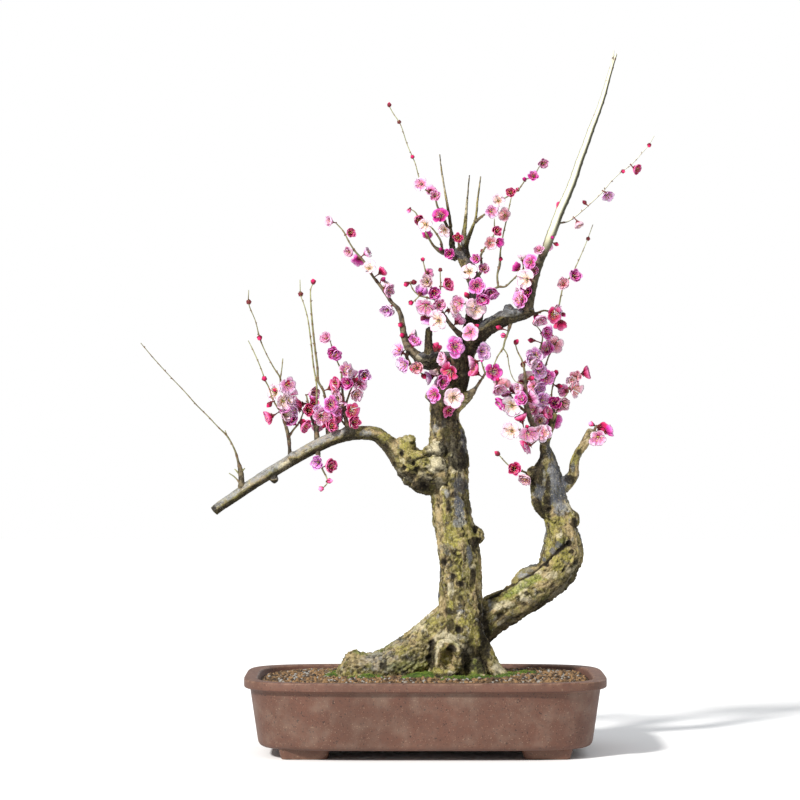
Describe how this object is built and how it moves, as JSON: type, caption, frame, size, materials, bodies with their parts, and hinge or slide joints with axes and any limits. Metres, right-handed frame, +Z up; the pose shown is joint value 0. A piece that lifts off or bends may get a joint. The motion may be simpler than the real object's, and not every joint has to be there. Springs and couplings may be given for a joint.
{
  "type": "japanese apricot bonsai",
  "caption": "Old twin-trunk Japanese apricot bonsai in pink flower, with a long low limb on the left and bare whips above, in a plain unglazed clay pot of soil.",
  "frame": {"origin": "middle of the whole part's underside, on the surface that the pot's feet stand on", "axes": "+Z up, +X to the right and -Y towards the viewer of the picture"},
  "size_m": [0.611, 0.3, 0.8352],
  "materials": {
    "clay": "matte",
    "soil": "matte",
    "bark": "matte",
    "blossom": "matte"
  },
  "bodies": {
    "root": {"pot": "clay", "soil": "soil", "wood": "bark", "spray_mid_left": "blossom", "spray_centre_left": "blossom", "spray_trunk_low": "blossom", "spray_trunk_mid": "blossom", "spray_junction": "blossom", "spray_leader_low": "blossom", "spray_leader_high": "blossom", "spray_leader_right": "blossom", "spray_fork_left": "blossom", "spray_leader_tip": "blossom", "spray_top_centre": "blossom", "spray_fork_right": "blossom", "spray_right_low": "blossom", "spray_whip_right": "blossom", "spray_right_side": "blossom", "spray_hanging": "blossom", "spray_trunk_right": "blossom", "spray_limb_far": "blossom", "spray_limb_middle": "blossom", "spray_limb_near": "blossom", "spray_limb_under": "blossom", "spray_crown_left": "blossom", "spray_crown_middle": "blossom", "spray_crown_right": "blossom", "spray_crown_back": "blossom", "spray_second_right": "blossom", "spray_second_left": "blossom", "spray_trunk_back": "blossom"}
  },
  "joints": []
}
